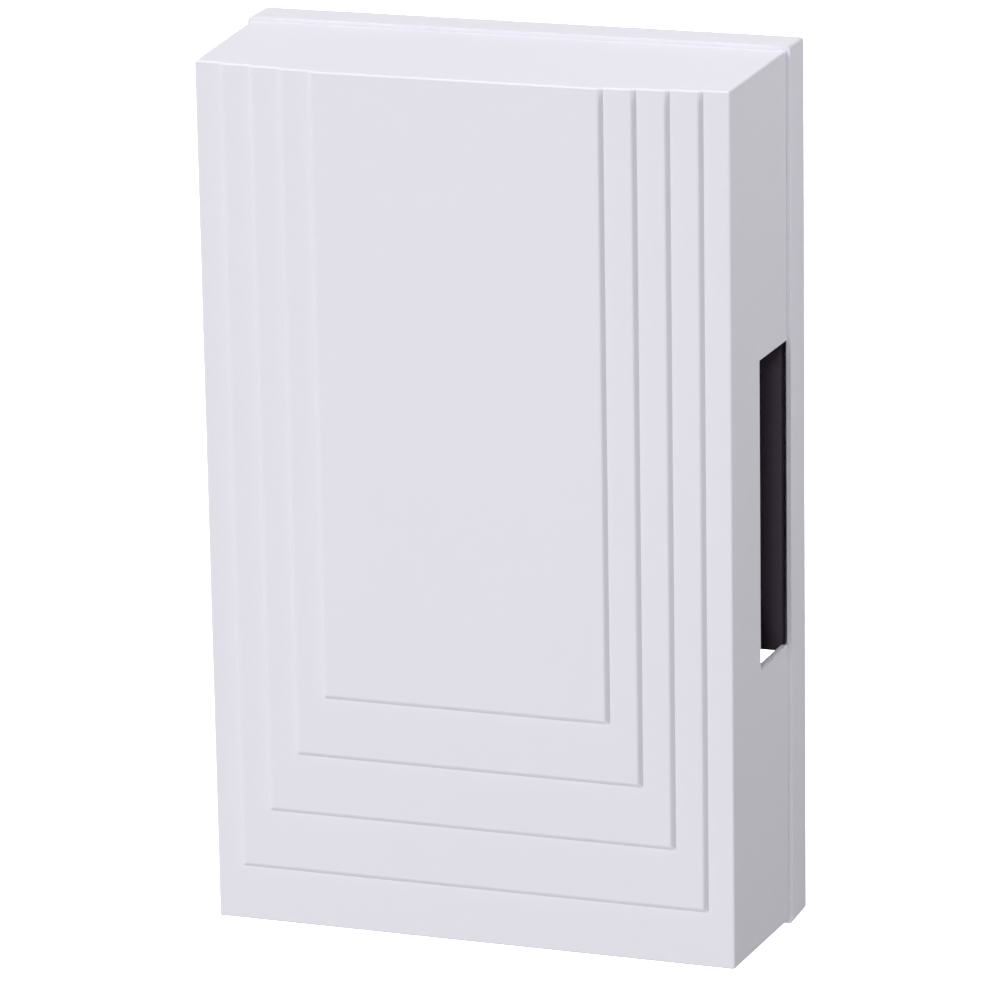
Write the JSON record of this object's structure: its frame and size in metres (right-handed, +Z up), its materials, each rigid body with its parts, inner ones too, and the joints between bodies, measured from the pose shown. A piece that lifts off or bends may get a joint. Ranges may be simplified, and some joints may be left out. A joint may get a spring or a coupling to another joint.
{
  "type": "doorbell chime box",
  "caption": "White wall-mounted doorbell chime: a shallow back box with solenoid, sprung plunger and tone bars under a push-on cover with a terraced front and side sound notches.",
  "frame": {"origin": "middle of the back box's flat wall face", "axes": "+Z up along the long side, +Y into the wall, +X to the right as seen from the front"},
  "size_m": [0.11, 0.045, 0.176],
  "materials": {
    "case_white": "satin moulded white",
    "chassis_black": "fine-grained black moulding",
    "tone_steel": "flat ground steel, zinc plated",
    "grommet_rubber": "soft black rubber",
    "screw_zinc": "bright zinc plate",
    "yoke_steel": "folded zinc plated strip",
    "nylon": "natural nylon",
    "copper": "enamelled copper wire",
    "plunger_iron": "turned soft iron",
    "spring_steel": "drawn spring wire",
    "terminal_grey": "light grey moulding",
    "terminal_brass": "plain brass",
    "lead_pvc": "sleeved wire"
  },
  "bodies": {
    "box": {"base_plate": "case_white", "chassis": "chassis_black", "chassis_screws": "screw_zinc", "tone_bar_left": "tone_steel", "tone_bar_right": "tone_steel", "grommets_left": "grommet_rubber", "grommets_right": "grommet_rubber", "hanger_screws_left": "screw_zinc", "hanger_screws_right": "screw_zinc", "yoke": "yoke_steel", "yoke_screws": "screw_zinc", "bobbin": "nylon", "winding": "copper", "return_spring": "spring_steel", "terminal_block": "terminal_grey", "terminal_fixing_screw": "screw_zinc", "terminal_clamps": "terminal_brass", "terminal_screws": "terminal_brass", "coil_lead_left": "lead_pvc", "coil_lead_right": "lead_pvc"},
    "cover": {"front_cover": "case_white"},
    "plunger": {"plunger": "plunger_iron", "striker_pin_left": "nylon", "striker_pin_right": "nylon", "spring_clip": "spring_steel"}
  },
  "joints": [
    {"name": "cover_pull", "type": "slide", "parent": "box", "child": "cover", "axis": [0, -1, 0], "range_m": [0, 0.09]},
    {"name": "plunger_stroke", "type": "slide", "parent": "box", "child": "plunger", "axis": [1, 0, 0], "range_m": [-0.0015, 0.007], "stiffness_N_per_m": 60, "deforming": ["return_spring"]}
  ]
}
